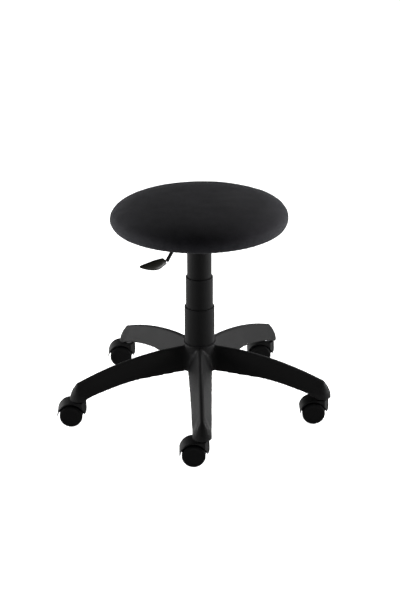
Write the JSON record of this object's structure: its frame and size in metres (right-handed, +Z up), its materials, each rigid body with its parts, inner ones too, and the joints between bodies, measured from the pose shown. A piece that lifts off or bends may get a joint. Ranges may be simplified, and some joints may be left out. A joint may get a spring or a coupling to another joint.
{
  "type": "adjustable swivel stool",
  "caption": "Height-adjustable swivel stool: round black padded seat, release lever, telescopic column cover and a star base on twin-wheel casters.",
  "frame": {"origin": "on the floor, under the axis of the column", "axes": "+Z up along the column; one leg of the base points along -Y; at rest the casters trail along -X"},
  "size_m": [0.6163, 0.5673, 0.499],
  "materials": {
    "cushion_fabric": "fine plain weave, matt",
    "board_wood": "plywood, raw",
    "dust_sheet": "thin non-woven sheet",
    "zinc_steel": "zinc plated",
    "painted_steel": "black powder coat",
    "lever_steel": "black satin coat",
    "collar_steel": "satin",
    "lever_plastic": "satin moulded",
    "rod_chrome": "polished",
    "cover_plastic": "satin moulded",
    "base_nylon": "fine moulded grain, satin",
    "caster_nylon": "satin moulded",
    "wheel_nylon": "smooth moulded",
    "bush_plastic": "natural acetal",
    "dark_bush": "black acetal",
    "stop_rubber": "matt",
    "seal_rubber": "matt",
    "bearing_steel": "ground"
  },
  "bodies": {
    "base": {"star_base": "base_nylon", "hub_ring": "painted_steel", "column_tube": "painted_steel", "guide_bush": "bush_plastic", "thrust_washer_lower": "bearing_steel", "thrust_cage": "bush_plastic", "thrust_balls": "bearing_steel", "cover_lower": "cover_plastic", "caster_stems": "zinc_steel", "stem_grip_rings": "zinc_steel"},
    "spindle": {"piston_rod": "rod_chrome", "piston": "bearing_steel", "rod_clip": "zinc_steel", "thrust_washer_upper": "bearing_steel", "bump_stop": "stop_rubber"},
    "cover_stage": {"cover_middle": "cover_plastic"},
    "seat": {"seat_cushion": "cushion_fabric", "seat_board": "board_wood", "t_nuts": "zinc_steel", "seat_dust_cover": "dust_sheet", "seat_staples": "zinc_steel", "seat_plate": "painted_steel", "taper_socket": "painted_steel", "plate_bolts": "zinc_steel", "plate_washers": "zinc_steel", "lever_bushes": "dark_bush", "gas_cylinder": "painted_steel", "rod_guide": "seal_rubber", "cover_upper": "cover_plastic"},
    "lever": {"lever_rod": "lever_steel", "lever_pivot_pin": "zinc_steel", "lever_collar": "collar_steel", "lever_paddle": "lever_plastic"},
    "valve_pin": {"release_pin": "rod_chrome"},
    "caster_1": {"caster_1_hood": "caster_nylon", "caster_1_axle": "zinc_steel"},
    "wheel_1_left": {"caster_1_wheel_left": "wheel_nylon"},
    "wheel_1_right": {"caster_1_wheel_right": "wheel_nylon"},
    "caster_2": {"caster_2_hood": "caster_nylon", "caster_2_axle": "zinc_steel"},
    "wheel_2_left": {"caster_2_wheel_left": "wheel_nylon"},
    "wheel_2_right": {"caster_2_wheel_right": "wheel_nylon"},
    "caster_3": {"caster_3_hood": "caster_nylon", "caster_3_axle": "zinc_steel"},
    "wheel_3_left": {"caster_3_wheel_left": "wheel_nylon"},
    "wheel_3_right": {"caster_3_wheel_right": "wheel_nylon"},
    "caster_4": {"caster_4_hood": "caster_nylon", "caster_4_axle": "zinc_steel"},
    "wheel_4_left": {"caster_4_wheel_left": "wheel_nylon"},
    "wheel_4_right": {"caster_4_wheel_right": "wheel_nylon"},
    "caster_5": {"caster_5_hood": "caster_nylon", "caster_5_axle": "zinc_steel"},
    "wheel_5_left": {"caster_5_wheel_left": "wheel_nylon"},
    "wheel_5_right": {"caster_5_wheel_right": "wheel_nylon"}
  },
  "joints": [
    {"name": "seat_swivel", "type": "hinge", "parent": "base", "child": "spindle", "pos_m": [0, 0, 0.08], "axis": [0, 0, 1], "continuous": true},
    {"name": "seat_lift", "type": "slide", "parent": "spindle", "child": "seat", "axis": [0, 0, 1], "range_m": [-0.12, 0]},
    {"name": "cover_follow", "type": "slide", "parent": "base", "child": "cover_stage", "axis": [0, 0, 1], "range_m": [-0.06, 0]},
    {"name": "lever_lift", "type": "hinge", "parent": "seat", "child": "lever", "pos_m": [-0.02298, -0.01928, 0.4243], "axis": [-0.6428, 0.766, 0], "range_deg": [0, 7.5], "stiffness_Nm_per_rad": 2},
    {"name": "valve_press", "type": "slide", "parent": "seat", "child": "valve_pin", "axis": [0, 0, -1], "range_m": [0, 0.0041]},
    {"name": "caster_1_swivel", "type": "hinge", "parent": "base", "child": "caster_1", "pos_m": [0, -0.2865, 0.05], "axis": [0, 0, 1], "continuous": true},
    {"name": "wheel_1_left_roll", "type": "hinge", "parent": "caster_1", "child": "wheel_1_left", "pos_m": [-0.0185, -0.2865, 0.0258], "axis": [0, 1, 0], "continuous": true},
    {"name": "wheel_1_right_roll", "type": "hinge", "parent": "caster_1", "child": "wheel_1_right", "pos_m": [-0.0185, -0.2865, 0.0258], "axis": [0, 1, 0], "continuous": true},
    {"name": "caster_2_swivel", "type": "hinge", "parent": "base", "child": "caster_2", "pos_m": [0.27248, -0.08853, 0.05], "axis": [0, 0, 1], "continuous": true},
    {"name": "wheel_2_left_roll", "type": "hinge", "parent": "caster_2", "child": "wheel_2_left", "pos_m": [0.25398, -0.08853, 0.0258], "axis": [0, 1, 0], "continuous": true},
    {"name": "wheel_2_right_roll", "type": "hinge", "parent": "caster_2", "child": "wheel_2_right", "pos_m": [0.25398, -0.08853, 0.0258], "axis": [0, 1, 0], "continuous": true},
    {"name": "caster_3_swivel", "type": "hinge", "parent": "base", "child": "caster_3", "pos_m": [0.1684, 0.23178, 0.05], "axis": [0, 0, 1], "continuous": true},
    {"name": "wheel_3_left_roll", "type": "hinge", "parent": "caster_3", "child": "wheel_3_left", "pos_m": [0.1499, 0.23178, 0.0258], "axis": [0, 1, 0], "continuous": true},
    {"name": "wheel_3_right_roll", "type": "hinge", "parent": "caster_3", "child": "wheel_3_right", "pos_m": [0.1499, 0.23178, 0.0258], "axis": [0, 1, 0], "continuous": true},
    {"name": "caster_4_swivel", "type": "hinge", "parent": "base", "child": "caster_4", "pos_m": [-0.1684, 0.23178, 0.05], "axis": [0, 0, 1], "continuous": true},
    {"name": "wheel_4_left_roll", "type": "hinge", "parent": "caster_4", "child": "wheel_4_left", "pos_m": [-0.1869, 0.23178, 0.0258], "axis": [0, 1, 0], "continuous": true},
    {"name": "wheel_4_right_roll", "type": "hinge", "parent": "caster_4", "child": "wheel_4_right", "pos_m": [-0.1869, 0.23178, 0.0258], "axis": [0, 1, 0], "continuous": true},
    {"name": "caster_5_swivel", "type": "hinge", "parent": "base", "child": "caster_5", "pos_m": [-0.27248, -0.08853, 0.05], "axis": [0, 0, 1], "continuous": true},
    {"name": "wheel_5_left_roll", "type": "hinge", "parent": "caster_5", "child": "wheel_5_left", "pos_m": [-0.29098, -0.08853, 0.0258], "axis": [0, 1, 0], "continuous": true},
    {"name": "wheel_5_right_roll", "type": "hinge", "parent": "caster_5", "child": "wheel_5_right", "pos_m": [-0.29098, -0.08853, 0.0258], "axis": [0, 1, 0], "continuous": true}
  ],
  "couplings": [
    {"joint": "cover_follow", "follows": "seat_lift", "ratio": 0.5},
    {"joint": "valve_press", "follows": "lever_lift", "m_per_rad": 0.03}
  ]
}
